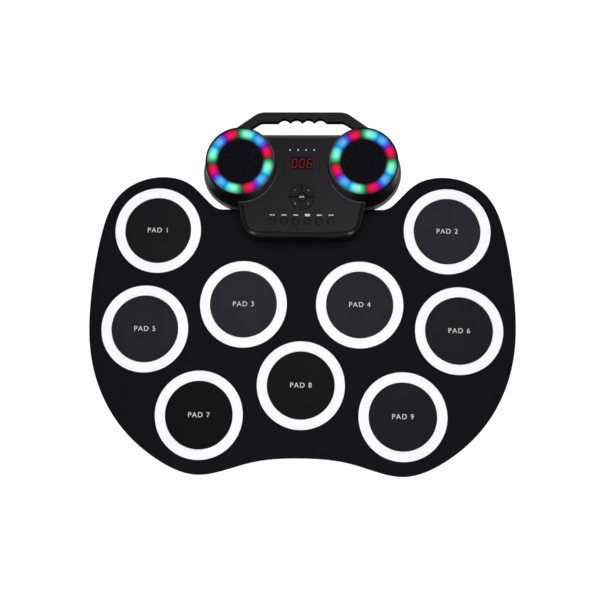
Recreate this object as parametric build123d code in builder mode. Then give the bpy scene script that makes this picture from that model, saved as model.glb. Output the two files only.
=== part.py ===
from build123d import *
from math import cos, pi, sin
import os

# A roll-up electronic drum pad. Nine strike pads sit in a thin soft mat; a console at the back
# holds two lit speaker pods, a display, keys, jacks and a carrying handle.
# Millimetres. +X is the player's right, +Y is away from the player, +Z is up. The origin is on
# the table, under the middle of the whole object.

# ---- driving dimensions: mat and pads ----
BASE_TOP = 1.2  # top of the non-slip base sheet
FILM_TOP = 1.8  # top of the printed sensor film
MAT_TOP = 6.0  # playing surface
RING_FLOOR = 4.8  # floor of the recess that holds a white ring
RING_TOP = 6.2
RING_R = 47.0
RING_HOLE_R = 36.2
PAD_R = 35.9
PAD_FLOOR = 3.2
SENSOR_R = 33.0
SENSOR_TOP = 2.6
FILM_SHARE = 0.955  # the film is this much smaller than the mat
FILM_GAP = (236.0, 62.0)  # width and front edge of the part of the mat that the film leaves clear
TAIL = (30.0, 24.0)  # the film's tail, under the front of the console
TAIL_Y = 74.0
RIBBON = (28.0, 0.4)  # the flat lead from the tail up to the board
RIBBON_Y = 84.8
RIBBON_TOP = 24.0
RIBBON_SLOT = (29.0, 1.2)
NOTCH_Y = 92.8  # the mat's back edge, where it runs under the console

# The right half of the mat's edge, from the front centre round to the notch behind.
MAT_EDGE = [
    (0, -175.1),
    (55, -180.7),
    (110.5, -193.0),
    (152.8, -177.0),
    (199.8, -132.8),
    (226.5, -68.4),
    (228.5, 2.0),
    (220.4, 63.2),
    (200.2, 110.2),
    (152.8, 129.0),
    (125.1, 121.7),
    (103.0, 101.2),
    (95.5, 95.1),
    (85.0, NOTCH_Y),
]

# Centre of each strike pad.
PADS = {
    "crash_pad_left": (-157.6, 68.9),
    "crash_pad_right": (157.6, 68.9),
    "tom_pad_left": (-62.7, -11.7),
    "tom_pad_right": (62.7, -11.7),
    "hi_hat_pad": (-168.9, -39.1),
    "ride_pad": (168.9, -39.1),
    "snare_pad": (-108.3, -130.6),
    "bass_pad": (0.0, -98.4),
    "floor_tom_pad": (108.3, -130.6),
}

# ---- driving dimensions: console ----
FOOT_TOP = 1.5  # underside of the console behind the mat
SPLIT_Z = 20.0  # parting plane of the bottom and top shells
PANEL_Z = 38.0  # top of the key panel
PANEL_EDGE_R = 6.0
POD_SEAM = 0.9  # bevel of the panel where it meets a pod
WALL = 2.2
FIT = 0.1  # play between pieces that are pushed together
GAP = 0.4  # between the pods and the panel that runs round them
BACK_Y = 167.3
BACK_X = 58.5  # half the back wall's width, up to the pods
FRONT_Y = 55.8
FRONT_CORNER = (60.4, 58.2)
FRONT_CORNER_R = 18.0
SIDE_POINT = (66.0, 85.1)
POD_CORNER = (67.5, 93.0)  # where the console's side runs into a pod
STEP_Y = NOTCH_Y + 0.6  # in front of this line the console stands on the mat

# ---- driving dimensions: speaker pods. A pod is a drum that tapers upwards and stands on the
# wider round end of the bottom shell, which leaves a narrow ledge round it. Each tuple is x, y
# and radius. ----
END_FOOT = (66.0, 130.4, 39.0)  # round end of the bottom shell, at its underside
END_RIM = (65.2, 130.4, 41.6)  # the same at the parting plane
END_RIM_R = 1.2  # rounding of the ledge's outer edge
POD_FOOT = (65.8, 130.0, 38.2)  # drum at the parting plane
POD_FACE = (63.8, 132.4, 35.9)  # drum at the top face
POD_Z = 54.0
POD_RIM_R = 0.6
SHELF = (45.0, 48.0)  # the ledge inside a pod that carries the light board
MAGNET_R = 16.0
MAGNET_TOP = 29.5
BASKET_R = 28.0  # rim of the speaker's steel frame
GLOW_R = 34.7  # outside of the lit ring
GRILLE_R = 23.4
GRILLE_Z = 51.6
GRILLE_T = 1.4
SKIRT = 6.6  # how far the grille's skirt reaches down
SIDES = {"left": -1, "right": 1}

# ---- driving dimensions: keys, display, board ----
BOARD_Z = 27.0
BOARD_T = 1.6
BOARD_TOP = BOARD_Z + BOARD_T
TACT_SIZE = 4.5
SWITCH_TOP = 31.6
MEMBRANE_TOP = 32.3
KEY_FLOOR = 32.9
KEY_TOP = 38.8
FLANGE = (34.2, 35.5)
KEY_R = 3.7
KEY_GAP = 0.3
KEY_Y = 72.6
KEY_PITCH = 12.3
KEY_COUNT = 6
NAV_Y = 98.4
NAV_R = 13.0
NAV_INNER_R = 5.1
NAV_SLOT = 0.7
NAV_SWITCH_R = 9.0  # distance of the outer four switches from the middle
CENTRE_KEY_R = 4.6
KEY_FLANGE = 1.1  # width of the lip that keeps a key in
WINDOW = (37.0, 31.0)
WINDOW_CORNER_R = 3.0
WINDOW_Y = 140.0
WINDOW_FLOOR = 36.8
DISPLAY = (25.0, 14.6)
DISPLAY_Y = 134.8
LAMP_COUNT = 4
LAMP_Y = 149.3
LAMP_PITCH = 8.5
LAMP_R = 1.5

# ---- driving dimensions: handle and rear panel ----
HANDLE_Z = (24.0, 34.0)
HANDLE_BACK = 193.0
HANDLE_FRONT = 182.2
HANDLE_OUTER = [(46.5, HANDLE_BACK), (74.3, 173.2), (78.0, 163.5)]  # corners of its right end
HANDLE_INNER = [(44.5, HANDLE_FRONT), (66.0, 168.0)]
HANDLE_BEND_R = (20.0, 10.0)  # bends of the outer edge and of the finger gap, seen from above
HANDLE_TOP_R = 3.0
HANDLE_FOOT_R = 1.5
GAP_RIM_R = 0.8
GRIP_ROOT_Y = 150.0  # the handle's ends, inside the pods' outline
TOOTH_R = 1.0  # rounding between two finger grips
FINGER_COUNT = 4
FINGER_PITCH = 12.9
FINGER_DEPTH = 3.6
JACK_Z = 12.0
JACK_R = 4.0
JACK_BORE_R = 1.8
JACK_DEPTH = 13.0
JACK_BODY = 14.0
JACK_BLOCK = 9.0
JACK_LIP = 0.3  # how far a jack stands out of the back wall
JACKS = {"audio_jacks": (-16.0, -5.5), "pedal_jacks": (5.5, 16.0)}
USB_X = -38.0
USB_OPENING = (8.3, 2.5)
USB_SHELL = (9.0, 3.2)
USB_TONGUE = (6.4, 0.7)
USB_DEPTH = 8.0
SWITCH_X = 38.0
SWITCH_TRAVEL = 3.0
SWITCH_KNOB = (4.0, 3.0)
SWITCH_BODY = 6.0

# ---- driving dimensions: lights and grilles ----
LIGHT_COUNT = 12
LIGHT_SIZE = 3.5
GLOW_INNER_R = GRILLE_R + 0.2
GLOW_MIDDLE_R = (GLOW_R + GRILLE_R) / 2
GLOW_Z = (51.0, 52.6)  # foot and shoulder of the ring that the lights shine through
HOLE_RINGS = 6
HOLE_PITCH = 3.2
HOLE_R = 0.8

# ---- driving dimensions: posts and fasteners, a screw being a shank radius, a head radius and a
# head height ----
POST_R = 3.5
PILOT_R = 1.1  # hole that a small screw cuts its thread in
MAT_SCREW = (1.4, 3.5, 1.0)
MAT_SCREW_TOP = 12.0
BOARD_SCREW = (1.05, 2.2, 1.6)
BOARD_SCREW_DEPTH = 7.0
CASE_SCREW = (1.05, 2.6, 1.8)
CASE_SCREW_TOP = 30.0
COUNTERBORE = (2.8, 4.0)  # radius and depth of the wells for the case screws' heads
MAT_SCREWS = [(-50, 80), (-26, 80), (26, 80), (50, 80)]
CASE_SCREWS = [(-50, 71), (50, 71), (-27, 157), (27, 157)]
BOARD_SCREWS = [(-34, 84), (34, 84), (-17, 138), (17, 138)]
FEET = [(-78, 150), (78, 150), (-78, 108), (78, 108)]
FOOT_R = 6.0

os.makedirs("parts", exist_ok=True)


def save(part, name):
    """Label a finished piece and write it."""
    part.label = name
    export_step(part, f"parts/{name}.step")


def taper(side, z, foot, top, foot_z, top_z):
    """Centre and radius at height z of a tapered round body."""
    share = (z - foot_z) / (top_z - foot_z)
    x, y, radius = (low + (high - low) * share for low, high in zip(foot, top))
    return (side * x, y), radius


def pod_place(side, z):
    """Centre and radius of a pod's drum at height z."""
    return taper(side, z, POD_FOOT, POD_FACE, SPLIT_Z, POD_Z)


def end_place(side, z):
    """Centre and radius at height z of the bottom shell's round end."""
    return taper(side, z, END_FOOT, END_RIM, FOOT_TOP, SPLIT_Z)


def tapered(place, side, low, high, grow=0.0, flare=0.0):
    """A tapered round body between two heights, grown or shrunk, and flared at its top."""
    with BuildPart() as drum:
        for z, extra in ((low, grow), (high, grow + flare)):
            centre, radius = place(side, z)
            with BuildSketch(Plane.XY.offset(z)):
                with Locations(centre):
                    Circle(radius + extra)
        loft()
    return drum.part


def shell_end(side):
    """The bottom shell's round end under a pod, with a rounded rim."""
    with BuildPart() as end:
        add(tapered(end_place, side, FOOT_TOP, SPLIT_Z))
        fillet(end.faces().sort_by(Axis.Z)[-1].edges(), radius=END_RIM_R)
    return end.part


def ring_of(radius, hole_radius, low, high, centre):
    """A plain washer between two heights."""
    with BuildPart() as washer:
        with BuildSketch(Plane.XY.offset(low)):
            with Locations(centre):
                Circle(radius)
                Circle(hole_radius, mode=Mode.SUBTRACT)
        extrude(amount=high - low)
    return washer.part


def columns(places, low, high, radius):
    """Round columns of one size between two heights."""
    with BuildPart() as group:
        with BuildSketch(Plane.XY.offset(low)):
            with Locations(*places):
                Circle(radius)
        extrude(amount=high - low)
    return group.part


def rear_plane(depth):
    """A plane parallel to the back wall, this far in front of its outer face."""
    return Plane.XZ.offset(depth - BACK_Y)


def block(x_range, y_range, z_range):
    """A box given by its limits."""
    with BuildPart() as box:
        with BuildSketch(Plane.XY.offset(z_range[0])):
            with Locations(((x_range[0] + x_range[1]) / 2, (y_range[0] + y_range[1]) / 2)):
                Rectangle(x_range[1] - x_range[0], y_range[1] - y_range[0])
        extrude(amount=z_range[1] - z_range[0])
    return box.part


# ---------------------------------------------------------------- mat
left_edge = [(-x, y) for x, y in reversed(MAT_EDGE[1:])]
with BuildSketch() as mat_plan:
    with BuildLine():
        mat_edge = Spline(*left_edge, *MAT_EDGE)
        Line(mat_edge @ 1, mat_edge @ 0)
    make_face()

with BuildSketch() as film_plan:
    add(mat_plan.sketch)
    scale(by=FILM_SHARE)
    with Locations((0, NOTCH_Y)):
        Rectangle(FILM_GAP[0], 2 * (NOTCH_Y - FILM_GAP[1]), mode=Mode.SUBTRACT)
    with Locations((0, TAIL_Y)):
        Rectangle(*TAIL)

with BuildPart() as base_sheet:
    with BuildSketch():
        add(mat_plan.sketch)
        with Locations(*MAT_SCREWS):
            Circle(MAT_SCREW[1] + 0.2, mode=Mode.SUBTRACT)
    extrude(amount=BASE_TOP)
save(base_sheet.part, "base_sheet")

with BuildPart() as sensor_film:
    with BuildSketch(Plane.XY.offset(BASE_TOP)):
        add(film_plan.sketch)
    extrude(amount=FILM_TOP - BASE_TOP)
save(sensor_film.part, "sensor_film")

with BuildPart() as sensor_discs:
    add(columns(PADS.values(), FILM_TOP, SENSOR_TOP, SENSOR_R))
save(sensor_discs.part, "sensor_discs")

with BuildPart() as top_sheet:
    with BuildSketch(Plane.XY.offset(BASE_TOP)):
        add(mat_plan.sketch)
    extrude(amount=MAT_TOP - BASE_TOP)
    fillet(top_sheet.faces().sort_by(Axis.Z)[-1].edges(), radius=1.2)
    with BuildSketch(Plane.XY.offset(BASE_TOP)):
        add(film_plan.sketch)
    extrude(amount=FILM_TOP - BASE_TOP, mode=Mode.SUBTRACT)
    with BuildSketch(Plane.XY.offset(BASE_TOP)):
        with Locations(*PADS.values()):
            Circle(RING_HOLE_R)
        with Locations(*MAT_SCREWS):
            Circle(MAT_SCREW[0] + 0.2)
        with Locations((0, RIBBON_Y)):
            Rectangle(*RIBBON_SLOT)
    extrude(amount=MAT_TOP, mode=Mode.SUBTRACT)
    add(columns(PADS.values(), RING_FLOOR, MAT_TOP, RING_R), mode=Mode.SUBTRACT)
save(top_sheet.part, "top_sheet")

with BuildPart() as pad_rings:
    with BuildSketch(Plane.XY.offset(RING_FLOOR)):
        with Locations(*PADS.values()):
            Circle(RING_R)
            Circle(RING_HOLE_R, mode=Mode.SUBTRACT)
    extrude(amount=RING_TOP - RING_FLOOR)
    fillet(pad_rings.edges().group_by(Axis.Z)[-1], radius=0.4)
save(pad_rings.part, "pad_rings")

for pad_name, pad_centre in PADS.items():
    with BuildPart() as strike_pad:
        with BuildSketch(Plane.XY.offset(PAD_FLOOR)):
            with Locations(pad_centre):
                Circle(PAD_R)
        extrude(amount=MAT_TOP - PAD_FLOOR)
        fillet(strike_pad.edges().group_by(Axis.Z)[-1], radius=0.6)
    save(strike_pad.part, pad_name)

with BuildPart() as mat_screws:
    add(columns(MAT_SCREWS, BASE_TOP - MAT_SCREW[2], BASE_TOP, MAT_SCREW[1]))
    add(columns(MAT_SCREWS, BASE_TOP, MAT_SCREW_TOP, MAT_SCREW[0]))
save(mat_screws.part, "mat_screws")

with BuildPart() as mat_ribbon:
    with BuildSketch(Plane.XY.offset(FILM_TOP)):
        with Locations((0, RIBBON_Y)):
            Rectangle(*RIBBON)
    extrude(amount=RIBBON_TOP - FILM_TOP)
save(mat_ribbon.part, "mat_ribbon")

# ---------------------------------------------------------------- console shells
with BuildSketch() as console_plan:
    with BuildLine():
        front_edge = ThreePointArc((-FRONT_CORNER[0], FRONT_CORNER[1]), (0, FRONT_Y), FRONT_CORNER)
        right_edge = Polyline(front_edge @ 1, SIDE_POINT, POD_CORNER, (BACK_X, BACK_Y), (0, BACK_Y))
        mirror(right_edge, about=Plane.YZ)
    make_face()
    front_corners = console_plan.vertices().filter_by(lambda v: abs(abs(v.X) - FRONT_CORNER[0]) < 0.1)
    fillet(front_corners, radius=FRONT_CORNER_R)

with BuildSketch() as console_core:
    add(console_plan.sketch)
    offset(amount=-WALL)

FLOOR_Z = FOOT_TOP + WALL  # inside floor behind the mat
STEP_FLOOR_Z = MAT_TOP + WALL  # inside floor over the mat
CEILING_Z = PANEL_Z - WALL
shell_ends = [shell_end(side) for side in SIDES.values()]
end_cores = [tapered(end_place, side, FLOOR_Z, SPLIT_Z, -2 * WALL) for side in SIDES.values()]
mat_room = block((-120, 120), (0, STEP_Y), (0, MAT_TOP))  # what the mat takes from the console
step_floor = block((-120, 120), (0, STEP_Y + WALL), (0, STEP_FLOOR_Z))

with BuildPart() as bottom_room:
    with BuildSketch(Plane.XY.offset(FLOOR_Z)):
        add(console_core.sketch)
    extrude(amount=SPLIT_Z - FLOOR_Z)
    add(end_cores)
    add(step_floor, mode=Mode.SUBTRACT)

with BuildPart() as bottom_shell:
    with BuildSketch(Plane.XY.offset(FOOT_TOP)):
        add(console_plan.sketch)
    extrude(amount=SPLIT_Z - FOOT_TOP)
    add(shell_ends)
    add(mat_room, mode=Mode.SUBTRACT)
    add(bottom_room.part, mode=Mode.SUBTRACT)
    # Posts for the board and for the screws that hold the top shell.
    for places, top in ((BOARD_SCREWS, BOARD_Z), (CASE_SCREWS, SPLIT_Z)):
        for x, y in places:
            floor = STEP_FLOOR_Z if y < STEP_Y else FLOOR_Z
            add(columns([(x, y)], floor, top, POST_R))
    # Bosses over the screws that come up through the mat.
    add(columns(MAT_SCREWS, STEP_FLOOR_Z, MAT_SCREW_TOP + 1, POST_R))
    add(columns(MAT_SCREWS, MAT_TOP, MAT_SCREW_TOP, MAT_SCREW[0]), mode=Mode.SUBTRACT)
    with BuildSketch(Plane.XY.offset(MAT_TOP)):
        with Locations((0, RIBBON_Y)):
            Rectangle(*RIBBON_SLOT)
    extrude(amount=2 * WALL, mode=Mode.SUBTRACT)
    add(columns(BOARD_SCREWS, BOARD_Z - BOARD_SCREW_DEPTH - 1, BOARD_Z, PILOT_R), mode=Mode.SUBTRACT)
    # Case screws: a wide counterbore from below, then a clearance hole.
    for x, y in CASE_SCREWS:
        floor = MAT_TOP if y < STEP_Y else FOOT_TOP
        add(columns([(x, y)], floor, floor + COUNTERBORE[1], COUNTERBORE[0]), mode=Mode.SUBTRACT)
        add(columns([(x, y)], floor, SPLIT_Z, CASE_SCREW[0] + 0.45), mode=Mode.SUBTRACT)
    # Openings in the back wall.
    with BuildSketch(rear_plane(2 * WALL)):
        for row in JACKS.values():
            with Locations(*[(x, JACK_Z) for x in row]):
                Circle(JACK_R)
        with Locations((USB_X, JACK_Z)):
            RectangleRounded(USB_SHELL[0] + 0.2, USB_SHELL[1] + 0.2, USB_SHELL[1] / 2)
        with Locations((SWITCH_X, JACK_Z)):
            Rectangle(SWITCH_KNOB[0] + SWITCH_TRAVEL + 0.8, SWITCH_KNOB[1] + 0.6)
    extrude(amount=-3 * WALL, mode=Mode.SUBTRACT)
save(bottom_shell.part, "bottom_shell")

upper_cuts = [tapered(pod_place, side, SPLIT_Z, PANEL_Z + 1, GAP) for side in SIDES.values()]
bevel_z = (PANEL_Z - POD_SEAM, PANEL_Z + POD_SEAM)
seam_bevels = [tapered(pod_place, side, *bevel_z, GAP, 2 * POD_SEAM) for side in SIDES.values()]
upper_walls = [tapered(pod_place, side, SPLIT_Z, PANEL_Z + 1, GAP + WALL) for side in SIDES.values()]

with BuildPart() as top_room:
    with BuildSketch(Plane.XY.offset(SPLIT_Z)):
        add(console_core.sketch)
    extrude(amount=CEILING_Z - SPLIT_Z)
    fillet(top_room.faces().sort_by(Axis.Z)[-1].edges(), radius=PANEL_EDGE_R - WALL)
    add(upper_walls, mode=Mode.SUBTRACT)

row_keys = [((n - (KEY_COUNT - 1) / 2) * KEY_PITCH, KEY_Y) for n in range(KEY_COUNT)]
lamps = [((n - (LAMP_COUNT - 1) / 2) * LAMP_PITCH, LAMP_Y) for n in range(LAMP_COUNT)]

with BuildPart() as top_shell:
    with BuildSketch(Plane.XY.offset(SPLIT_Z)):
        add(console_plan.sketch)
    extrude(amount=PANEL_Z - SPLIT_Z)
    fillet(top_shell.faces().sort_by(Axis.Z)[-1].edges(), radius=PANEL_EDGE_R)
    add(upper_cuts, mode=Mode.SUBTRACT)
    add(seam_bevels, mode=Mode.SUBTRACT)
    add(top_room.part, mode=Mode.SUBTRACT)
    for place in CASE_SCREWS:
        add(ring_of(POST_R, PILOT_R, SPLIT_Z, CEILING_Z, place))
    with BuildSketch(Plane.XY.offset(PANEL_Z)):
        with Locations(*row_keys):
            Circle(KEY_R + KEY_GAP)
        with Locations((0, NAV_Y)):
            Circle(NAV_R + KEY_GAP)
        with Locations(*lamps):
            Circle(LAMP_R + FIT)
        with Locations((0, DISPLAY_Y)):
            Rectangle(DISPLAY[0] + 4 * FIT, DISPLAY[1] + 4 * FIT)
    extrude(amount=-2 * WALL, mode=Mode.SUBTRACT)
    with BuildSketch(Plane.XY.offset(WINDOW_FLOOR)):
        with Locations((0, WINDOW_Y)):
            RectangleRounded(*WINDOW, WINDOW_CORNER_R)
    extrude(amount=PANEL_Z, mode=Mode.SUBTRACT)
    # A shallow dish round the navigation keys.
    add(columns([(0, NAV_Y)], PANEL_Z - 0.6, PANEL_Z + 1, NAV_R + 1.2), mode=Mode.SUBTRACT)
save(top_shell.part, "top_shell")

# ---------------------------------------------------------------- pods
for side_name, side in SIDES.items():
    outer = tapered(pod_place, side, SPLIT_Z, POD_Z)
    inner = tapered(pod_place, side, SPLIT_Z, SHELF[0], -WALL)
    centre = pod_place(side, POD_Z)[0]
    face = Location((*centre, 0))

    with BuildPart() as pod:
        add(outer)
        fillet(pod.faces().sort_by(Axis.Z)[-1].edges(), radius=POD_RIM_R)
        add(inner, mode=Mode.SUBTRACT)
        for low, radius in ((SHELF[0], GRILLE_R + FIT), (SHELF[1], GLOW_R + FIT)):
            add(columns([centre], low, POD_Z, radius), mode=Mode.SUBTRACT)
    save(pod.part, f"{side_name}_pod")

    with BuildPart() as light_board:
        add(ring_of(GLOW_R - 0.5, GRILLE_R + 1.0, SHELF[1], SHELF[1] + 1.2, centre))
        with BuildSketch(Plane.XY.offset(SHELF[1] + 1.2)):
            with Locations(centre):
                with PolarLocations(GLOW_MIDDLE_R, LIGHT_COUNT):
                    Rectangle(LIGHT_SIZE, LIGHT_SIZE)
        extrude(amount=1.2)
    save(light_board.part, f"{side_name}_light_board")

    with BuildPart() as light_ring:
        with BuildSketch(Plane.XZ):
            with BuildLine():
                foot = Polyline((GLOW_R, GLOW_Z[1]), (GLOW_R, GLOW_Z[0]), (GLOW_INNER_R, GLOW_Z[0]),
                                (GLOW_INNER_R, GLOW_Z[1]))
                ThreePointArc(foot @ 1, (GLOW_MIDDLE_R, POD_Z + 0.6), foot @ 0)
            make_face()
        revolve(axis=Axis.Z)
    light_ring.part.locate(face)
    save(light_ring.part, f"{side_name}_light_ring")

    with BuildPart() as grille:
        with BuildSketch():
            Circle(GRILLE_R)
        extrude(amount=GRILLE_T)
        fillet(grille.edges().group_by(Axis.Z)[-1], radius=0.6)
        add(ring_of(GRILLE_R, GRILLE_R - GRILLE_T, -SKIRT, 0, (0, 0)))
        with BuildSketch():
            for turn in range(1, HOLE_RINGS + 1):
                with PolarLocations(turn * HOLE_PITCH, 6 * turn):
                    Circle(HOLE_R)
            Circle(HOLE_R)
        extrude(amount=GRILLE_T, mode=Mode.SUBTRACT)
    grille.part.locate(Location((*centre, GRILLE_Z)))
    save(grille.part, f"{side_name}_grille")

    with BuildPart() as speaker_frame:
        with BuildSketch(Plane.XZ):
            with BuildLine():
                Polyline((0, MAGNET_TOP), (12, MAGNET_TOP), (21.5, 43.2), (BASKET_R, 43.2),
                         (BASKET_R, SHELF[0]), (21.6, SHELF[0]), (11.5, 31), (0, 31), (0, MAGNET_TOP))
            make_face()
        revolve(axis=Axis.Z)
    speaker_frame.part.locate(face)
    save(speaker_frame.part, f"{side_name}_speaker_frame")

    with BuildPart() as speaker_cone:
        with BuildSketch(Plane.XZ):
            with BuildLine():
                wall = Polyline((21.2, 45.4), (7, 37), (0, 37), (0, 39.6))
                dust_cap = ThreePointArc(wall @ 1, (4.2, 39.0), (7, 37.8))
                Polyline(dust_cap @ 1, (20.8, 46.2), wall @ 0)
            make_face()
        revolve(axis=Axis.Z)
    speaker_cone.part.locate(face)
    save(speaker_cone.part, f"{side_name}_speaker_cone")

    with BuildPart() as magnet:
        with BuildSketch(Plane.XY.offset(SPLIT_Z)):
            Circle(MAGNET_R)
        extrude(amount=MAGNET_TOP - SPLIT_Z)
        chamfer(magnet.edges(), length=0.8)
    magnet.part.locate(face)
    save(magnet.part, f"{side_name}_magnet")

# ---------------------------------------------------------------- handle
scallop_r = (FINGER_PITCH**2 / 4 + FINGER_DEPTH**2) / (2 * FINGER_DEPTH)
scallop_y = HANDLE_FRONT + FINGER_DEPTH - scallop_r
fingers = [((n - (FINGER_COUNT - 1) / 2) * FINGER_PITCH, scallop_y) for n in range(FINGER_COUNT)]
pod_cuts = [tapered(pod_place, side, HANDLE_Z[0] - 1, HANDLE_Z[1] + 1) for side in SIDES.values()]

with BuildSketch(Plane.XY.offset(HANDLE_Z[0])) as handle_plan:
    with BuildLine():
        Polyline((0, HANDLE_BACK), *HANDLE_OUTER, (HANDLE_OUTER[-1][0], GRIP_ROOT_Y), (0, GRIP_ROOT_Y))
        mirror(about=Plane.YZ)
    make_face()
    corners = handle_plan.vertices().filter_by(lambda v: abs(v.X) > 1 and v.Y > HANDLE_OUTER[1][1] - 1)
    fillet(corners, radius=HANDLE_BEND_R[0])

with BuildSketch(Plane.XY.offset(HANDLE_Z[0])) as gap_plan:
    with BuildLine():
        Polyline(
            (0, HANDLE_FRONT), *HANDLE_INNER, (HANDLE_INNER[-1][0], GRIP_ROOT_Y - 10), (0, GRIP_ROOT_Y - 10)
        )
        mirror(about=Plane.YZ)
    make_face()
    bends = gap_plan.vertices().filter_by(lambda v: abs(abs(v.X) - HANDLE_INNER[0][0]) < 0.1)
    fillet(bends, radius=HANDLE_BEND_R[1])
    with Locations(*fingers):
        Circle(scallop_r)
    teeth = gap_plan.vertices().filter_by(
        lambda v: abs(v.X) < (FINGER_COUNT * FINGER_PITCH) / 2 + 1 and abs(v.Y - HANDLE_FRONT) < 0.1
    )
    fillet(teeth, radius=TOOTH_R)
gap_outline = gap_plan.sketch.faces()[0].outer_wire()


def on_gap_rim(edge):
    """True for an edge of the finger gap at the handle's top or underside."""
    middle = edge @ 0.5
    flat = Vector(middle.X, middle.Y, HANDLE_Z[0])
    return gap_outline.distance_to(flat) < 0.01 and min(abs(middle.Z - z) for z in HANDLE_Z) < 0.01


with BuildPart() as handle:
    add(handle_plan.sketch)
    extrude(amount=HANDLE_Z[1] - HANDLE_Z[0])
    fillet(handle.faces().sort_by(Axis.Z)[-1].edges(), radius=HANDLE_TOP_R)
    fillet(handle.faces().sort_by(Axis.Z)[0].edges(), radius=HANDLE_FOOT_R)
    add(gap_plan.sketch)
    extrude(amount=HANDLE_Z[1] - HANDLE_Z[0], mode=Mode.SUBTRACT)
    fillet(handle.edges().filter_by(on_gap_rim), radius=GAP_RIM_R)
    add(pod_cuts, mode=Mode.SUBTRACT)
save(handle.part, "handle")

# ---------------------------------------------------------------- display, lamps and keys
with BuildPart() as window:
    with BuildSketch(Plane.XY.offset(WINDOW_FLOOR)):
        with Locations((0, WINDOW_Y)):
            RectangleRounded(*WINDOW, WINDOW_CORNER_R)
    extrude(amount=PANEL_Z - WINDOW_FLOOR)
save(window.part, "display_window")

with BuildPart() as display:
    with BuildSketch(Plane.XY.offset(BOARD_TOP)):
        with Locations((0, DISPLAY_Y)):
            Rectangle(*DISPLAY)
    extrude(amount=WINDOW_FLOOR - 2 * FIT - BOARD_TOP)
save(display.part, "display_module")

with BuildPart() as lamp_group:
    add(columns(lamps, BOARD_TOP, WINDOW_FLOOR - 2 * FIT, LAMP_R))
    fillet(lamp_group.edges().group_by(Axis.Z)[-1], radius=1.0)
save(lamp_group.part, "indicator_lamps")

for number, place in enumerate(row_keys, start=1):
    with BuildPart() as key:
        add(columns([place], KEY_FLOOR, KEY_TOP, KEY_R))
        fillet(key.edges().group_by(Axis.Z)[-1], radius=0.6)
        add(columns([place], *FLANGE, KEY_R + KEY_FLANGE))
    save(key.part, f"key_{number}")

# The four outer navigation keys are quarters of one ring.
NAV_KEYS = ("nav_key_up_right", "nav_key_up_left", "nav_key_down_left", "nav_key_down_right")
for quarter, nav_name in enumerate(NAV_KEYS):
    with BuildPart() as key:
        for low, high, radius in ((KEY_FLOOR, KEY_TOP, NAV_R), (*FLANGE, NAV_R + KEY_FLANGE)):
            with BuildSketch(Plane.XY.offset(low)):
                Circle(radius)
                Circle(NAV_INNER_R, mode=Mode.SUBTRACT)
                with Locations((-radius, 0), (0, -radius)):
                    Rectangle(2 * radius + NAV_SLOT, 2 * radius + NAV_SLOT, mode=Mode.SUBTRACT)
            extrude(amount=high - low)
        fillet(key.faces().sort_by(Axis.Z)[-1].edges(), radius=0.5)
    key.part.locate(Location((0, NAV_Y, 0), (0, 0, 90 * quarter)))
    save(key.part, nav_name)

with BuildPart() as centre_key:
    add(columns([(0, NAV_Y)], KEY_FLOOR, KEY_TOP, CENTRE_KEY_R))
    fillet(centre_key.edges().group_by(Axis.Z)[-1], radius=0.6)
save(centre_key.part, "nav_key_centre")

# ---------------------------------------------------------------- inside the console
with BuildSketch(Plane.XY.offset(BOARD_Z)) as board_plan:
    with Locations((0, 75.5)):
        Rectangle(78, 25)
    with Locations((0, 121)):
        Rectangle(42, 70)

with BuildPart() as main_board:
    add(board_plan.sketch)
    extrude(amount=BOARD_T)
    add(columns(BOARD_SCREWS, BOARD_Z, BOARD_TOP, BOARD_SCREW[0] + 0.25), mode=Mode.SUBTRACT)
save(main_board.part, "main_board")

with BuildPart() as board_screws:
    add(columns(BOARD_SCREWS, BOARD_Z - BOARD_SCREW_DEPTH, BOARD_TOP, BOARD_SCREW[0]))
    add(columns(BOARD_SCREWS, BOARD_TOP, BOARD_TOP + BOARD_SCREW[2], BOARD_SCREW[1]))
save(board_screws.part, "board_screws")

nav_turns = [(quarter + 0.5) * pi / 2 for quarter in range(4)]
nav_places = [(NAV_SWITCH_R * cos(turn), NAV_Y + NAV_SWITCH_R * sin(turn)) for turn in nav_turns]
with BuildPart() as tact_switches:
    with BuildSketch(Plane.XY.offset(BOARD_TOP)):
        with Locations(*row_keys, *nav_places, (0, NAV_Y)):
            Rectangle(TACT_SIZE, TACT_SIZE)
    extrude(amount=SWITCH_TOP - BOARD_TOP)
save(tact_switches.part, "tact_switches")

with BuildPart() as key_membrane:
    with BuildSketch(Plane.XY.offset(SWITCH_TOP)):
        with Locations((0, KEY_Y)):
            Rectangle(74, 14)
        with Locations((0, 93)):
            Rectangle(30, 40)
    extrude(amount=MEMBRANE_TOP - SWITCH_TOP)
save(key_membrane.part, "key_membrane")

with BuildPart() as battery:
    with BuildSketch(Plane.XY.offset(FLOOR_Z)):
        with Locations((0, 116)):
            RectangleRounded(50, 34, 3)
    extrude(amount=9)
    fillet(battery.edges().group_by(Axis.Z)[-1], radius=1.5)
save(battery.part, "battery")

with BuildPart() as ribbon_socket:
    with BuildSketch(Plane.XY.offset(RIBBON_TOP - 1)):
        with Locations((0, RIBBON_Y)):
            Rectangle(RIBBON[0] + 4, 5)
    extrude(amount=BOARD_Z - RIBBON_TOP + 1)
    with BuildSketch(Plane.XY.offset(RIBBON_TOP - 1)):
        with Locations((0, RIBBON_Y)):
            Rectangle(*RIBBON)
    extrude(amount=1, mode=Mode.SUBTRACT)
save(ribbon_socket.part, "ribbon_socket")

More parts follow.
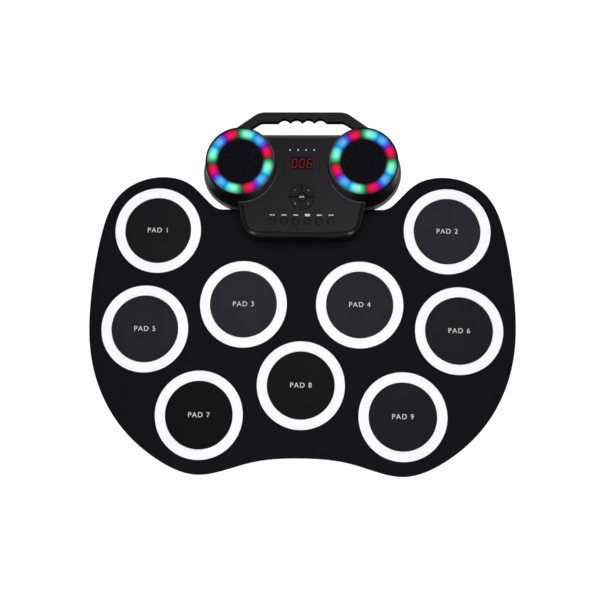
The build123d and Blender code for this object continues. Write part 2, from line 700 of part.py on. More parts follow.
for jack_name, row in JACKS.items():
    places = [(x, JACK_Z) for x in row]
    with BuildPart() as jacks:
        with BuildSketch(rear_plane(JACK_BODY)):
            with Locations(*places):
                Circle(JACK_R - FIT)
        extrude(amount=-JACK_BODY - JACK_LIP)
        with BuildSketch(rear_plane(JACK_BODY)):
            with Locations(*places):
                Rectangle(JACK_BLOCK, JACK_BLOCK)
        extrude(amount=WALL - JACK_BODY)
        with BuildSketch(rear_plane(-JACK_LIP)):
            with Locations(*places):
                Circle(JACK_BORE_R)
        extrude(amount=JACK_DEPTH, mode=Mode.SUBTRACT)
    save(jacks.part, jack_name)

with BuildPart() as usb_socket:
    with BuildSketch(rear_plane(USB_DEPTH)):
        with Locations((USB_X, JACK_Z)):
            RectangleRounded(*USB_SHELL, USB_SHELL[1] / 2 - FIT)
    extrude(amount=-USB_DEPTH)
    with BuildSketch(rear_plane(0)):
        with Locations((USB_X, JACK_Z)):
            RectangleRounded(*USB_OPENING, USB_OPENING[1] / 2 - FIT)
            Rectangle(*USB_TONGUE, mode=Mode.SUBTRACT)
    extrude(amount=USB_DEPTH - 1.5, mode=Mode.SUBTRACT)
save(usb_socket.part, "usb_socket")

SWITCH_REST = (SWITCH_X - SWITCH_TRAVEL / 2, JACK_Z)
with BuildPart() as power_switch:
    with BuildSketch(rear_plane(SWITCH_BODY)):
        with Locations(SWITCH_REST):
            Rectangle(*SWITCH_KNOB)
    extrude(amount=-SWITCH_BODY - 1)
    with BuildSketch(rear_plane(SWITCH_BODY)):
        with Locations(SWITCH_REST):
            Rectangle(SWITCH_KNOB[0] + 3, SWITCH_KNOB[1] + 3)
    extrude(amount=0.4 + WALL - SWITCH_BODY)
save(power_switch.part, "power_switch")

with BuildPart() as case_screws:
    for x, y in CASE_SCREWS:
        head = (MAT_TOP if y < STEP_Y else FOOT_TOP) + COUNTERBORE[1]
        add(columns([(x, y)], head - CASE_SCREW[2], head, CASE_SCREW[1]))
        add(columns([(x, y)], head, CASE_SCREW_TOP, CASE_SCREW[0]))
save(case_screws.part, "case_screws")

with BuildPart() as rubber_feet:
    add(columns(FEET, 0, FOOT_TOP, FOOT_R))
save(rubber_feet.part, "rubber_feet")
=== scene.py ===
from math import cos, pi, radians, sin, tan

import bmesh
import bpy
from mathutils import Matrix, Vector


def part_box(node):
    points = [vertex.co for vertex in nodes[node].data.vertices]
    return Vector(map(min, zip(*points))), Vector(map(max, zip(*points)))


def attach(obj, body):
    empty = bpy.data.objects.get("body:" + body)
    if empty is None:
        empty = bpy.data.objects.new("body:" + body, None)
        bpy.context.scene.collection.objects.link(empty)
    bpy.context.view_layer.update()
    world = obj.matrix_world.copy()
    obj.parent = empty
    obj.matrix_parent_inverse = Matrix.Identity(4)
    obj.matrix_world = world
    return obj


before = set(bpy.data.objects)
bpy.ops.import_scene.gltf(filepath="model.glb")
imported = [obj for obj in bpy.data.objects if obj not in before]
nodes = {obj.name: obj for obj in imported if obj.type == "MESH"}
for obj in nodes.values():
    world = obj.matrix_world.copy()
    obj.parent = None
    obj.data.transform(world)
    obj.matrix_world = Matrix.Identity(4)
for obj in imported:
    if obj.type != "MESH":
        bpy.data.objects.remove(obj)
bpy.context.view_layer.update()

MM = 0.001
scene = bpy.context.scene
scene.view_settings.view_transform = "Standard"


# ---------------------------------------------------------------- sizes read from the frame
def middle(name):
    """The centre of a CAD node's box."""
    low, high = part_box(name)
    return (low + high) / 2


def top_of(name):
    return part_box(name)[1].z


MAT_TOP = top_of("top_sheet")
PANEL_TOP = top_of("top_shell")
PADS = [
    "crash_pad_left", "crash_pad_right", "tom_pad_left", "tom_pad_right", "hi_hat_pad",
    "ride_pad", "snare_pad", "bass_pad", "floor_tom_pad",
]
ROW_KEYS = [f"key_{number}" for number in range(1, 7)]
SIDES = {"left": -1, "right": 1}
NAV_KEYS = ["nav_key_up_right", "nav_key_up_left", "nav_key_down_left", "nav_key_down_right"]


# ---------------------------------------------------------------- materials
POD_RIM = 1.2 * MM  # from the lit ring's edge to the outside of the pod
# The next four mark out painted light: painted highlights on the panel's bevel, its back edge and the
# ledge round a pod, and painted shade on the handle's walls below its top.
BEVEL = (1.2 * MM, 2.4 * MM)  # where the panel's bevel fades out, from the pod's wall outwards
BACK_EDGE = (6.0 * MM, 3.5 * MM)  # where the panel's rounded back edge starts, from the back
LEDGE_EDGE = (1.2 * MM, 0.4 * MM)  # the same for the ledge round a pod, from its top
HANDLE_EDGE = (2.6 * MM, 0.8 * MM)  # the same for the handle's top
# Where these painted highlights fade, measured from a pod's axis: the bevel's towards the front,
# the ledge's and the pod wall's towards the outside of the console.
BEVEL_FADE = (-20 * MM, 0)
LEDGE_FADE = (8 * MM, 18 * MM)
WALL_FADE = (-26 * MM, -2 * MM)

CONSOLE_COLOR = (0.0045, 0.0043, 0.0068)
# Painted highlight on the panel's bevel round each pod and on the ledge round each pod.
CONSOLE_HIGHLIGHT = (0.0750, 0.0740, 0.0820)
# Painted highlight on the panel's rounded back edge.
PANEL_BACK_HIGHLIGHT = (0.0600, 0.0600, 0.0640)
POD_COLOR = (0.0042, 0.0040, 0.0056)
# Painted highlight on the side of a pod's wall that faces the panel.
POD_WALL_HIGHLIGHT = (0.0550, 0.0540, 0.0620)
HANDLE_COLOR = (0.0160, 0.0157, 0.0170)
# Painted shade on the handle's walls and inside its finger gap; the top keeps HANDLE_COLOR.
HANDLE_PAINTED_SHADE = (0.0012, 0.0011, 0.0016)
DISPLAY_DARK = (0.0008, 0.0003, 0.0004)
DISPLAY_HAZE = (0.012, 0.0006, 0.0010)
BLACK = (0, 0, 0)
GLOW_STRENGTH = 1.15


class Recipe:
    """A Principled material with the object's own coordinates, and short ways to add nodes."""

    def __init__(self, name, color, roughness, specular=0.5, metallic=0.0):
        self.material = bpy.data.materials.new(name)
        self.material.use_nodes = True
        self.tree = self.material.node_tree
        self.shader = self.tree.nodes["Principled BSDF"]
        self.shader.inputs["Base Color"].default_value = (*color, 1)
        self.shader.inputs["Roughness"].default_value = roughness
        self.shader.inputs["Specular IOR Level"].default_value = specular
        self.shader.inputs["Metallic"].default_value = metallic
        self.color = color
        self.place = self.add("ShaderNodeTexCoord").outputs["Object"]

    def add(self, kind, **settings):
        node = self.tree.nodes.new(kind)
        for key, value in settings.items():
            setattr(node, key, value)
        return node

    def link(self, source, target):
        self.tree.links.new(source, target)

    def math(self, operation, first, second=None):
        node = self.add("ShaderNodeMath", operation=operation)
        for socket, value in zip(node.inputs, (first, second)):
            if value is None:
                continue
            if isinstance(value, (int, float)):
                socket.default_value = value
            else:
                self.link(value, socket)
        return node.outputs[0]

    def axis(self, index):
        """The x, y or z of the shaded point."""
        split = self.add("ShaderNodeSeparateXYZ")
        self.link(self.place, split.inputs[0])
        return split.outputs[index]

    def length(self, across, along):
        """How long a step with these two parts is."""
        squares = [self.math("MULTIPLY", part, part) for part in (across, along)]
        return self.math("SQRT", self.math("ADD", *squares))

    def noise(self, scale, detail=2.0):
        node = self.add("ShaderNodeTexNoise")
        node.inputs["Scale"].default_value = scale
        node.inputs["Detail"].default_value = detail
        self.link(self.place, node.inputs["Vector"])
        return node.outputs["Fac"]

    def spread(self, factor, low, high, target):
        """Drive a socket from a 0 to 1 factor between two values."""
        node = self.add("ShaderNodeMapRange")
        node.inputs["To Min"].default_value = low
        node.inputs["To Max"].default_value = high
        self.link(factor, node.inputs["Value"])
        self.link(node.outputs["Result"], target)

    def ramp(self, factor, stops):
        node = self.add("ShaderNodeValToRGB")
        elements = node.color_ramp.elements
        while len(elements) > 1:
            elements.remove(elements[-1])
        for index, (position, color) in enumerate(stops):
            element = elements[0] if index == 0 else elements.new(position)
            element.position = position
            element.color = (*color, 1)
        self.link(factor, node.inputs["Fac"])
        return node.outputs["Color"]

    def tone(self, scale, amount):
        """Soft patches, a little darker and lighter than the base colour."""
        low = tuple(c * (1 - amount) for c in self.color)
        high = tuple(c * (1 + amount) for c in self.color)
        color = self.ramp(self.noise(scale, 3), [(0.3, low), (0.7, high)])
        self.link(color, self.shader.inputs["Base Color"])

    def grain(self, scale, height, roughness_span):
        """A fine moulded texture: bump, and roughness that follows it."""
        factor = self.noise(scale)
        bump = self.add("ShaderNodeBump")
        bump.inputs["Distance"].default_value = height
        bump.inputs["Strength"].default_value = 1.0
        self.link(factor, bump.inputs["Height"])
        self.link(bump.outputs["Normal"], self.shader.inputs["Normal"])
        self.spread(factor, *roughness_span, self.shader.inputs["Roughness"])

    def blend(self, factor, color):
        """Mix another colour over the base colour where the factor is high."""
        mix = self.add("ShaderNodeMix", data_type="RGBA")
        self.link(factor, mix.inputs["Factor"])
        base = self.shader.inputs["Base Color"]
        self.link(base.links[0].from_socket, mix.inputs["A"])
        mix.inputs["B"].default_value = (*color, 1)
        self.link(mix.outputs["Result"], base)

    def emit(self, source, strength):
        """Give off light, in one colour or in the colours of another node."""
        color = self.shader.inputs["Emission Color"]
        if isinstance(source, tuple):
            color.default_value = (*source, 1)
        else:
            self.link(source, color)
        self.shader.inputs["Emission Strength"].default_value = strength

    def step(self, value, low, high, first=0.0, last=1.0):
        """The first value below low, the last one above high, and a smooth change between."""
        node = self.add("ShaderNodeMapRange", interpolation_type="SMOOTHSTEP")
        node.inputs["From Min"].default_value = low
        node.inputs["From Max"].default_value = high
        node.inputs["To Min"].default_value = first
        node.inputs["To Max"].default_value = last
        self.link(value, node.inputs["Value"])
        return node.outputs["Result"]


def silicone(name, color, specular, roughness=0.5, patches=0.12):
    recipe = Recipe(name, color, roughness, specular)
    recipe.tone(35, patches)
    recipe.grain(2600, 0.00004, (roughness - 0.05, roughness + 0.08))
    return recipe.material


def plastic(name, color, roughness, specular):
    recipe = Recipe(name, color, roughness, specular)
    recipe.tone(60, 0.08)
    recipe.grain(3200, 0.00003, (roughness - 0.06, roughness + 0.08))
    return recipe


def moulded(name, color, roughness, specular=0.4):
    return plastic(name, color, roughness, specular).material


def printed_white(name, brightness):
    recipe = Recipe(name, (brightness, brightness, brightness * 1.01), 0.6, 0.2)
    recipe.tone(900, 0.04)
    return recipe.material


def metal(name, color, roughness):
    recipe = Recipe(name, color, roughness, 0.5, 1.0)
    recipe.grain(1800, 0.00002, (roughness - 0.05, roughness + 0.1))
    return recipe.material


def laminate():
    recipe = Recipe("circuit_laminate", (0.01, 0.09, 0.03), 0.35, 0.5)
    tracks = recipe.add("ShaderNodeTexBrick")
    tracks.inputs["Scale"].default_value = 260
    tracks.inputs["Color1"].default_value = (0.012, 0.11, 0.035, 1)
    tracks.inputs["Color2"].default_value = (0.01, 0.085, 0.028, 1)
    tracks.inputs["Mortar"].default_value = (0.03, 0.19, 0.07, 1)
    recipe.link(recipe.place, tracks.inputs["Vector"])
    recipe.link(tracks.outputs["Color"], recipe.shader.inputs["Base Color"])
    return recipe.material


def glow(name, color, strength):
    recipe = Recipe(name, tuple(c * 0.02 for c in color), 0.4, 0.1)
    recipe.tone(1200, 0.1)
    recipe.emit(color, strength)
    return recipe.material


# The lights of a pod run green, blue, red, four times round, clockwise from the back.
GLOW_STOPS = [
    (0.000, (0.03, 0.36, 0.14)),
    (0.040, (0.08, 0.62, 0.28)),
    (0.100, (0.22, 0.93, 0.60)),
    (0.170, (0.22, 0.93, 0.76)),
    (0.250, (0.11, 0.80, 0.74)),
    (0.330, (0.005, 0.26, 0.64)),
    (0.420, (0.07, 0.42, 0.88)),
    (0.500, (0.10, 0.42, 0.93)),
    (0.580, (0.055, 0.10, 0.78)),
    (0.650, (0.20, 0.005, 0.31)),
    (0.730, (0.74, 0.002, 0.12)),
    (0.820, (0.84, 0.004, 0.055)),
    (0.890, (0.46, 0.012, 0.035)),
    (0.945, (0.04, 0.05, 0.03)),
    (1.000, (0.03, 0.36, 0.14)),
]

# How bright the lit ring is at a share of its outer radius.
GLOW_FALL = [
    (0.68, 0.08), (0.71, 0.25), (0.75, 0.62), (0.79, 0.95), (0.83, 1.0), (0.88, 0.92),
    (0.92, 0.72), (0.96, 0.45), (1.0, 0.2),
]


def light_ring(side):
    """Frosted plastic lit from below by twelve coloured lights."""
    low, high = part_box(f"{side}_light_ring")
    centre, radius = (low + high) / 2, (high.x - low.x) / 2
    recipe = Recipe(f"{side}_glow", (0.004, 0.004, 0.005), 0.4, 0.02)
    across = recipe.math("SUBTRACT", recipe.axis(0), centre.x)
    along = recipe.math("SUBTRACT", recipe.axis(1), centre.y)
    turn = recipe.math("DIVIDE", recipe.math("ARCTAN2", across, along), 2 * pi / 4)
    share = recipe.math("FRACT", recipe.math("ADD", turn, 4.0))
    reach = recipe.math("DIVIDE", recipe.length(across, along), radius)
    level = recipe.ramp(reach, [(stop, (brightness,) * 3) for stop, brightness in GLOW_FALL])
    lit = recipe.add("ShaderNodeMix", data_type="RGBA", blend_type="MULTIPLY")
    lit.inputs["Factor"].default_value = 1.0
    recipe.link(recipe.ramp(share, GLOW_STOPS), lit.inputs["A"])
    recipe.link(level, lit.inputs["B"])
    recipe.emit(lit.outputs["Result"], GLOW_STRENGTH)
    return recipe.material


def window_acrylic():
    """Smoked acrylic, flush with the panel, with a dark red haze over the display."""
    recipe = Recipe("window_acrylic", CONSOLE_COLOR, 0.30, 0.15)
    recipe.tone(60, 0.08)
    recipe.grain(900, 0.00001, (0.24, 0.38))
    low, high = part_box("display_module")
    shares = []
    for index in (0, 1):
        offset = recipe.math("SUBTRACT", recipe.axis(index), (low[index] + high[index]) / 2)
        half = (high[index] - low[index]) / 2
        shares.append(recipe.math("DIVIDE", recipe.math("ABSOLUTE", offset), half))
    over_display = recipe.step(recipe.math("MAXIMUM", *shares), 0.80, 1.0, 1, 0)
    recipe.blend(over_display, DISPLAY_DARK)
    recipe.spread(over_display, 0.15, 0.04, recipe.shader.inputs["Specular IOR Level"])
    recipe.emit(recipe.ramp(over_display, [(0.0, BLACK), (1.0, DISPLAY_HAZE)]), 1.0)
    return recipe.material


def pod_at(z):
    """The right pod's centre and radius at a height. The left pod mirrors it."""
    foot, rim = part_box("right_pod"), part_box("right_light_ring")
    share = (z - foot[0].z) / (foot[1].z - foot[0].z)
    centre = (foot[0] + foot[1]).lerp(rim[0] + rim[1], share) / 2
    foot_radius = (foot[1].x - foot[0].x) / 2
    rim_radius = (rim[1].x - rim[0].x) / 2 + POD_RIM
    return centre, foot_radius * (1 - share) + rim_radius * share


def outward(recipe, centre):
    """How far a point is outside a pod's axis, towards its own side of the console."""
    return recipe.math("SUBTRACT", recipe.math("ABSOLUTE", recipe.axis(0)), centre.x)


def panel_plastic():
    """The top shell, with painted highlights on its bevel round each pod and on its back edge."""
    recipe = plastic("panel_plastic", CONSOLE_COLOR, 0.30, 0.15)
    centre, radius = pod_at(PANEL_TOP)
    across = outward(recipe, centre)
    along = recipe.math("SUBTRACT", recipe.axis(1), centre.y)
    reach = recipe.length(across, along)
    # Painted highlight on the bevel round each pod, strongest towards the front.
    bevel = recipe.step(reach, radius + BEVEL[0], radius + BEVEL[1], 1, 0)
    front = recipe.step(along, *BEVEL_FADE, 1, 0.35)
    recipe.blend(recipe.math("MULTIPLY", bevel, front), CONSOLE_HIGHLIGHT)
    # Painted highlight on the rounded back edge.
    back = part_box("top_shell")[1].y
    edge = recipe.step(recipe.axis(1), back - BACK_EDGE[0], back - BACK_EDGE[1])
    recipe.blend(edge, PANEL_BACK_HIGHLIGHT)
    return recipe.material


def shell_plastic():
    """The bottom shell, with a painted highlight on the outer half of the ledge round each pod."""
    recipe = plastic("shell_plastic", CONSOLE_COLOR, 0.30, 0.15)
    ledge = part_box("right_pod")[0].z
    # Painted highlight on the top edge of the ledge, on its outer half.
    outer = recipe.step(outward(recipe, pod_at(ledge)[0]), *LEDGE_FADE)
    rim = recipe.step(recipe.axis(2), ledge - LEDGE_EDGE[0], ledge - LEDGE_EDGE[1])
    recipe.blend(recipe.math("MULTIPLY", rim, outer), CONSOLE_HIGHLIGHT)
    return recipe.material


def pod_plastic():
    """A pod, with a painted highlight on the side of its wall that faces the panel."""
    recipe = plastic("pod_plastic", POD_COLOR, 0.34, 0.03)
    across = outward(recipe, pod_at(PANEL_TOP)[0])
    # Painted highlight on the side of the wall facing the panel.
    recipe.blend(recipe.step(across, *WALL_FADE, 1, 0), POD_WALL_HIGHLIGHT)
    return recipe.material


def handle_plastic():
    """The handle: lighter on its top; painted shade makes its walls black inside the finger gap, with no
    gloss there.
    """
    recipe = plastic("handle_plastic", HANDLE_COLOR, 0.40, 0.03)
    top = top_of("handle")
    # Painted shade on the walls below the rounded top, with the gloss taken away there.
    wall = recipe.step(recipe.axis(2), top - HANDLE_EDGE[0], top - HANDLE_EDGE[1], 1, 0)
    recipe.blend(wall, HANDLE_PAINTED_SHADE)
    recipe.spread(wall, 0.03, 0.0, recipe.shader.inputs["Specular IOR Level"])
    return recipe.material


SILICONE = silicone("mat_silicone", (0.0023, 0.0020, 0.0043), 0.06, 0.5)
RING_SILICONE = silicone("ring_silicone", (0.90, 0.90, 0.93), 0.1, 0.6, 0.02)
PANEL = panel_plastic()
POD = pod_plastic()
GROOVE = moulded("groove_plastic", POD_COLOR, 0.34, 0.03)
GRILLE = moulded("grille_plastic", (0.0035, 0.0031, 0.0060), 0.6, 0.03)
KEY = moulded("key_plastic", CONSOLE_COLOR, 0.34, 0.12)
NAV_KEY = moulded("nav_key_plastic", (0.0055, 0.0050, 0.0080), 0.34, 0.12)

# Each pad's base colour is scaled by its own factor, from 0.25 to 1.9: painted sheen that differs from
# pad to pad.
PAD_COLOR = (0.0070, 0.0066, 0.0099)
PAD_SHEEN_SCALES = {
    "crash_pad_left": 0.7, "crash_pad_right": 1.9, "tom_pad_left": 1.9, "tom_pad_right": 1.5,
    "hi_hat_pad": 1.5, "ride_pad": 1.0, "snare_pad": 0.25, "bass_pad": 0.35, "floor_tom_pad": 1.0,
}


def pad_silicone(name):
    # The pad's painted sheen scales its base colour.
    color = tuple(PAD_SHEEN_SCALES[name] * part for part in PAD_COLOR)
    return silicone(f"{name}_silicone", color, 0.08, 0.40)


WINDOW = window_acrylic()
PRINT = printed_white("printed_white", 0.5)
PRINT_DIM = printed_white("printed_grey", 0.2)
SOFT_PRINT = printed_white("label_print", 0.62)
DIGIT = glow("digit_red", (0.150, 0.014, 0.020), 1.0)
DIGIT_OFF = glow("digit_haze", (0.022, 0.001, 0.002), 1.0)
LAMP = glow("lamp_white", (0.62, 0.66, 0.85), 0.75)

for name, material in {
    "base_sheet": SILICONE, "top_sheet": SILICONE, "pad_rings": RING_SILICONE,
    "top_shell": PANEL, "bottom_shell": shell_plastic(), "handle": handle_plastic(),
    "left_pod": POD, "right_pod": POD, "left_grille": GRILLE, "right_grille": GRILLE,
    "left_light_ring": light_ring("left"), "right_light_ring": light_ring("right"),
    "display_window": WINDOW, "display_module": moulded("display_face", (0.01, 0.002, 0.003), 0.3),
    "indicator_lamps": LAMP, "nav_key_centre": NAV_KEY,
    "main_board": laminate(), "left_light_board": laminate(), "right_light_board": laminate(),
    "key_membrane": silicone("key_rubber", (0.2, 0.2, 0.21), 0.3, 0.55),
    "tact_switches": moulded("switch_plastic", (0.02, 0.02, 0.02), 0.5),
    "battery": moulded("battery_wrap", (0.03, 0.08, 0.25), 0.3),
    "sensor_film": moulded("amber_film", (0.35, 0.22, 0.05), 0.25),
    "mat_ribbon": moulded("ribbon_film", (0.35, 0.22, 0.05), 0.25),
    "sensor_discs": silicone("sensor_foam", (0.03, 0.03, 0.03), 0.2),
    "ribbon_socket": moulded("socket_plastic", (0.3, 0.28, 0.22), 0.5),
    "audio_jacks": moulded("jack_plastic", (0.008, 0.008, 0.009), 0.4),
    "pedal_jacks": moulded("jack_plastic_grey", (0.02, 0.02, 0.022), 0.4),
    "usb_socket": metal("usb_shell", (0.55, 0.55, 0.57), 0.3),
    "power_switch": moulded("slider_plastic", (0.02, 0.02, 0.022), 0.45),
    "mat_screws": metal("mat_screw_zinc", (0.5, 0.5, 0.5), 0.35),
    "case_screws": metal("case_screw_black", (0.04, 0.04, 0.045), 0.4),
    "board_screws": metal("board_screw_zinc", (0.5, 0.5, 0.5), 0.35),
    "rubber_feet": silicone("foot_rubber", (0.012, 0.012, 0.012), 0.3),
    **{name: pad_silicone(name) for name in PADS},
    **{name: KEY for name in ROW_KEYS},
    **{name: NAV_KEY for name in NAV_KEYS},
    **{f"{side}_speaker_frame": metal(f"{side}_basket", (0.03, 0.03, 0.03), 0.45) for side in SIDES},
    **{f"{side}_speaker_cone": moulded(f"{side}_cone_paper", (0.02, 0.02, 0.02), 0.8) for side in SIDES},
    **{f"{side}_magnet": metal(f"{side}_ferrite", (0.09, 0.09, 0.1), 0.55) for side in SIDES},
}.items():
    mesh = nodes[name].data
    mesh.materials.clear()
    mesh.materials.append(material)


# ---------------------------------------------------------------- printed marks and labels
PRINT_THICK = 0.06 * MM
PRINT_LIFT = 0.01 * MM
LABEL_HEIGHT = 7.6 * MM


def plate(name, outlines, z, body, material):
    """Thin printed shapes on a surface, each outline a list of points in metres."""
    mesh = bpy.data.meshes.new(name)
    build = bmesh.new()
    for outline in outlines:
        low = [build.verts.new((x, y, z)) for x, y in outline]
        high = [build.verts.new((x, y, z + PRINT_THICK)) for x, y in outline]
        build.faces.new(low[::-1])
        build.faces.new(high)
        for index in range(len(low)):
            after = (index + 1) % len(low)
            build.faces.new((low[index], low[after], high[after], high[index]))
    bmesh.ops.recalc_face_normals(build, faces=build.faces)
    build.to_mesh(mesh)
    build.free()
    mesh.materials.append(material)
    piece = bpy.data.objects.new(name, mesh)
    scene.collection.objects.link(piece)
    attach(piece, body)


def bar(x, y, width, height, round_corners=0.35):
    """A bar with rounded corners, centred at x and y, all in millimetres."""
    radius = min(round_corners, width / 2, height / 2)
    points = []
    for quarter, (sx, sy) in enumerate(((1, 1), (-1, 1), (-1, -1), (1, -1))):
        for step in range(4):
            angle = (quarter + step / 3) * pi / 2
            px = x + sx * (width / 2 - radius) + radius * cos(angle)
            py = y + sy * (height / 2 - radius) + radius * sin(angle)
            points.append((px * MM, py * MM))
    return points


def disc(x, y, radius):
    """A round dot centred at x and y, all in millimetres."""
    angles = [step * pi / 8 for step in range(16)]
    return [((x + radius * cos(angle)) * MM, (y + radius * sin(angle)) * MM) for angle in angles]


def polygon(points):
    return [(x * MM, y * MM) for x, y in points]


def label(text, centre, z, body):
    """A pad's printed name, as a flat mesh."""
    curve = bpy.data.curves.new(text, "FONT")
    curve.body = text
    curve.size = LABEL_HEIGHT
    curve.align_x = "CENTER"
    curve.align_y = "CENTER"
    curve.extrude = PRINT_THICK / 2
    curve.space_character = 1.2
    font = bpy.data.objects.new(text, curve)
    scene.collection.objects.link(font)
    bpy.context.view_layer.update()
    evaluated = font.evaluated_get(bpy.context.evaluated_depsgraph_get())
    mesh = bpy.data.meshes.new_from_object(evaluated)
    bpy.data.objects.remove(font)
    mesh.materials.clear()
    mesh.materials.append(SOFT_PRINT)
    mesh.transform(Matrix.Translation((centre.x, centre.y, z)))
    piece = bpy.data.objects.new("label_" + body, mesh)
    scene.collection.objects.link(piece)
    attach(piece, body)


for number, pad in enumerate(PADS, start=1):
    label(f"PAD {number}", middle(pad), top_of(pad) + 2 * PRINT_LIFT, pad)

# One mark above each key in the row, standing for its function.
MARK_RISE = 6.5  # millimetres
WIDE_MARK = 3  # this key's mark is taller than the others
SPLIT_MARKS = (0, 5)  # these keys' marks are in two halves
for index, key in enumerate(ROW_KEYS):
    x, y = middle(key).x / MM, middle(key).y / MM + MARK_RISE
    if index == WIDE_MARK:
        shapes = [bar(x, y, 5.4, 2.6, 0.9)]
    elif index in SPLIT_MARKS:
        shapes = [bar(x - 1.5, y, 2.2, 1.2), bar(x + 1.5, y, 2.2, 1.2)]
    else:
        shapes = [bar(x, y, 5.2, 1.2)]
    plate(f"mark_{key}", shapes, PANEL_TOP + PRINT_LIFT, "body", PRINT)

# A plus, a minus and two arrows on the round cluster, and a bar on its centre key.
ARROWS = {
    "nav_key_up_left": [bar(0, 0, 2.0, 0.6, 0.1)],
    "nav_key_up_right": [bar(0, 0, 2.0, 0.6, 0.1), bar(0, 0, 0.6, 2.0, 0.1)],
    "nav_key_down_left": [polygon([(-1.1, 0), (0.7, -1.1), (0.7, 1.1)])],
    "nav_key_down_right": [polygon([(1.1, 0), (-0.7, 1.1), (-0.7, -1.1)])],
}
MARK_STEP = 7.1  # millimetres across, and along, from the middle of the cluster to a mark
centre = middle("nav_key_centre")
for name, outlines in ARROWS.items():
    x = centre.x + (1 if "right" in name else -1) * MARK_STEP * MM
    y = centre.y + (1 if "up" in name else -1) * MARK_STEP * MM
    shapes = [[(px + x, py + y) for px, py in outline] for outline in outlines]
    plate(f"mark_{name}", shapes, top_of(name) + PRINT_LIFT, name, PRINT_DIM)
bar_mark = bar(centre.x / MM, centre.y / MM, 5.2, 1.1)
mark_z = top_of("nav_key_centre") + PRINT_LIFT
plate("mark_nav_centre", [bar_mark], mark_z, "nav_key_centre", PRINT)

# ---------------------------------------------------------------- display digits and lamps
# Millimetres.
DIGIT_HEIGHT = 9.1
DIGIT_WIDTH = 4.6
DIGIT_PITCH = 7.9
STROKE = 0.95
STROKE_GAP = 0.15  # at each end of a stroke
LEAN = tan(radians(7))
# For each stroke: level or upright, then its middle in half widths and half heights.
SEGMENTS = {
    "a": ("h", 0, 1), "g": ("h", 0, 0), "d": ("h", 0, -1),
    "f": ("v", -1, 0.5), "b": ("v", 1, 0.5), "e": ("v", -1, -0.5), "c": ("v", 1, -0.5),
}
LIT = {"0": "abcdef", "6": "acdefg"}
SHOWN = "006"
GROOVE_X = 18.0  # from the middle of the display to each groove
GROOVE_Y = -3.6
GROOVE_SIZE = (0.6, 15.0)
LAMP_COUNT = 4
LAMP_INSET = 1.5  # from the end of the row of lamps to the middle of the first
LAMP_R = 0.9


def segment(kind, sx, sy, x, y):
    """One stroke of a seven-stroke digit, pointed at both ends."""
    half = (DIGIT_WIDTH if kind == "h" else DIGIT_HEIGHT / 2) / 2 - STROKE_GAP
    wide = STROKE / 2
    shape = [
        (-half, 0), (-half + wide, -wide), (half - wide, -wide),
        (half, 0), (half - wide, wide), (-half + wide, wide),
    ]
    if kind == "v":
        shape = [(-py, px) for px, py in shape]
    cx, cy = sx * DIGIT_WIDTH / 2, sy * DIGIT_HEIGHT / 2
    return [((x + cx + px + LEAN * (cy + py)) * MM, (y + cy + py) * MM) for px, py in shape]


display = middle("display_module")
window_top = top_of("display_window")
for place, digit in enumerate(SHOWN):
    x = display.x / MM + (place - 1) * DIGIT_PITCH
    for state, lit, material in (("on", True, DIGIT), ("off", False, DIGIT_OFF)):
        letters = [letter for letter in SEGMENTS if (letter in LIT[digit]) == lit]
        shapes = [segment(*SEGMENTS[letter], x, display.y / MM) for letter in letters]
        plate(f"digit_{place + 1}_{state}", shapes, window_top, "body", material)

# A thin groove down each side of the display.
for name, side in SIDES.items():
    x, y = display.x / MM + side * GROOVE_X, display.y / MM + GROOVE_Y
    groove = bar(x, y, *GROOVE_SIZE)
    plate(f"display_line_{name}", [groove], PANEL_TOP + PRINT_LIFT, "body", GROOVE)

low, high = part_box("indicator_lamps")
first, last = low.x / MM + LAMP_INSET, high.x / MM - LAMP_INSET
for index in range(LAMP_COUNT):
    x = first + (last - first) * index / (LAMP_COUNT - 1)
    dot = disc(x, middle("indicator_lamps").y / MM, LAMP_R)
    plate(f"lamp_dot_{index + 1}", [dot], window_top, "body", LAMP)


# ---------------------------------------------------------------- floor, light and camera
STAGE_HALF = 4.0
STAGE_HEIGHT = 4.0
FLOOR_Z = -0.3 * MM
CORNERS = [(x * STAGE_HALF, y * STAGE_HALF) for x, y in ((-1, -1), (1, -1), (1, 1), (-1, 1))]


def white_surface(name, points, faces, brightness):
    """A white surface round the object, which is not part of it."""
    mesh = bpy.data.meshes.new(name)
    mesh.from_pydata(points, [], faces)
    recipe = Recipe(f"{name}_paper", (0.2, 0.2, 0.2), 0.9, 0.0)
    recipe.tone(3, 0.01)
    recipe.emit((1, 1, 1), brightness)
    mesh.materials.append(recipe.material)
    piece = bpy.data.objects.new(name, mesh)
    scene.collection.objects.link(piece)
    return piece


def floor_and_backdrop():
    """A floor, and a wall far away on all sides that the object doesn't reflect."""
    floor = white_surface("floor", [(x, y, 0) for x, y in CORNERS], [(0, 1, 2, 3)], 0.9)
    floor.location.z = FLOOR_Z
    points = [(x, y, z) for z in (FLOOR_Z, STAGE_HEIGHT) for x, y in CORNERS]
    sides = [(n, (n + 1) % 4, (n + 1) % 4 + 4, n + 4) for n in range(4)]
    wall = white_surface("backdrop", points, sides, 1.0)
    wall.visible_diffuse = False
    wall.visible_glossy = False
    wall.visible_shadow = False


def softbox(name, place, target, size, power, diffuse=True, gloss=True):
    """A rectangular light, which may be left out of the matt or of the glossy reflections."""
    light = bpy.data.lights.new(name, "AREA")
    light.shape = "RECTANGLE"
    light.size, light.size_y = size
    light.energy = power
    lamp = bpy.data.objects.new(name, light)
    scene.collection.objects.link(lamp)
    lamp.location = place
    lamp.visible_diffuse = diffuse
    lamp.visible_glossy = gloss
    lamp.rotation_euler = (Vector(target) - Vector(place)).to_track_quat("-Z", "Y").to_euler()


HORIZON_LIGHT = 1.7
ZENITH_LIGHT = 0.3
LIGHT_FADE = (0.25, 0.75)  # how steep a direction is where one starts and ends turning into the other


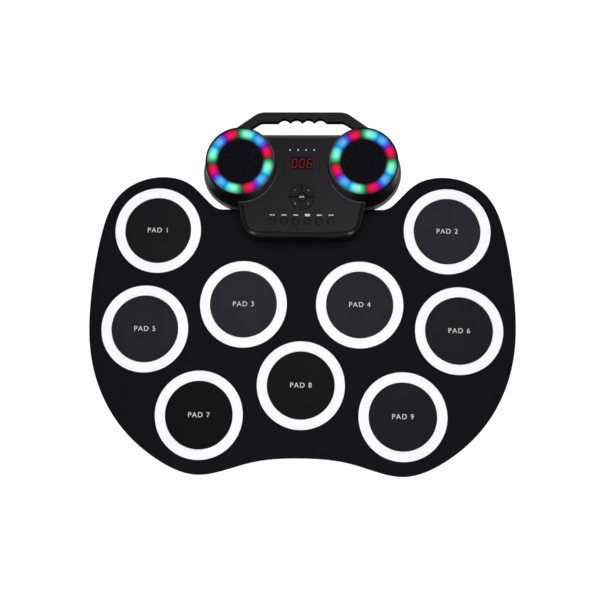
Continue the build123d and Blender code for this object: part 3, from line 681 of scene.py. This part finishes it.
def room():
    """A room that is brighter round the horizon than overhead."""
    world = bpy.data.worlds.new("studio")
    world.use_nodes = True
    tree = world.node_tree
    direction = tree.nodes.new("ShaderNodeTexCoord")
    split = tree.nodes.new("ShaderNodeSeparateXYZ")
    level = tree.nodes.new("ShaderNodeMapRange")
    level.interpolation_type = "SMOOTHSTEP"
    level.inputs["From Min"].default_value, level.inputs["From Max"].default_value = LIGHT_FADE
    level.inputs["To Min"].default_value = HORIZON_LIGHT
    level.inputs["To Max"].default_value = ZENITH_LIGHT
    tree.links.new(direction.outputs["Generated"], split.inputs[0])
    tree.links.new(split.outputs["Z"], level.inputs["Value"])
    tree.links.new(level.outputs["Result"], tree.nodes["Background"].inputs["Strength"])
    scene.world = world


MAT_MIDDLE = (0, 0, 0)
PANEL_FRONT = (0, 0.06, 0.03)
PANEL_MIDDLE = (0, 0.12, 0.03)


def lights():
    """One matt fill and a key from above, and lights that only the edges and faces reflect."""
    softbox("fill", (0, 0, 1.6), MAT_MIDDLE, (1.2, 1.2), 26.5, gloss=False)
    softbox("key", (0, 0.12, 1.5), MAT_MIDDLE, (1.2, 0.4), 4)
    softbox("side_key", (0.3, 0.45, 1.5), (0.09, 0.1, 0), (0.5, 0.25), 1, diffuse=False)
    softbox("front_strip", (0, -1.1, 0.60), PANEL_FRONT, (0.7, 0.4), 1.2, diffuse=False)
    softbox("back_key", (0, 0.68, 1.5), (0, 0.1, 0), (1.0, 0.3), 1.0, diffuse=False)
    for name, side in SIDES.items():
        strip_place, rim_place = (side * 0.57, -0.84, 0.44), (side * 1.1, 0.9, 0.35)
        softbox(f"strip_{name}", strip_place, PANEL_FRONT, (0.22, 0.6), 10, diffuse=False)
        softbox(f"rim_{name}", rim_place, PANEL_MIDDLE, (0.8, 0.4), 14, diffuse=False)


# The camera looks almost straight down, from a little in front of the middle.
CAMERA_PLACE = (0.0137, -0.0873, 0.7511 + MAT_TOP)
CAMERA_TURN = (radians(6.118), radians(1.114), radians(0.473))
LENS = 42
SENSOR = 36


def camera():
    data = bpy.data.cameras.new("camera")
    data.sensor_width = SENSOR
    data.lens = LENS
    data.clip_start = 0.01
    eye = bpy.data.objects.new("camera", data)
    scene.collection.objects.link(eye)
    eye.location = CAMERA_PLACE
    eye.rotation_euler = CAMERA_TURN
    scene.camera = eye


floor_and_backdrop()
room()
lights()
camera()
